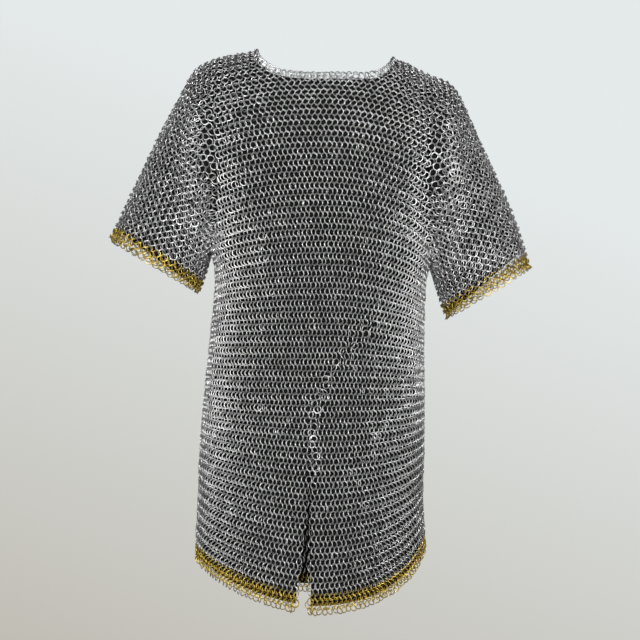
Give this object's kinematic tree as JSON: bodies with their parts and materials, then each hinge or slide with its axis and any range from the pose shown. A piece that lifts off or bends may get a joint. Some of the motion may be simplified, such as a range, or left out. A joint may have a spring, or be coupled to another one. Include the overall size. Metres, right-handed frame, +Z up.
{
  "type": "chainmail hauberk",
  "caption": "Elbow-length mail shirt of round steel rings in a four-in-one weave, with a slit skirt and brass rings at hem and cuffs, as worn",
  "frame": {"origin": "at the neck, midway between the shoulders and on the level of the shoulder ridge, where the wearer carries the garment", "axes": "+Z up, the front faces -Y, and +X is the wearer's left"},
  "size_m": [0.7181, 0.2578, 0.9357],
  "materials": {
    "steel_rings": "plain oiled steel wire rings",
    "brass_rings": "plain brass wire rings, slightly dull"
  },
  "bodies": {
    "root": {"front_yoke": "steel_rings", "back_yoke": "steel_rings", "front_waist": "steel_rings", "back_waist": "steel_rings", "sleeve_right": "steel_rings", "sleeve_left": "steel_rings", "skirt_front_right": "steel_rings", "skirt_front_left": "steel_rings", "skirt_back": "steel_rings", "hem_trim_front_right": "brass_rings", "hem_trim_front_left": "brass_rings", "hem_trim_back": "brass_rings", "cuff_trim_right": "brass_rings", "cuff_trim_left": "brass_rings"}
  },
  "joints": []
}
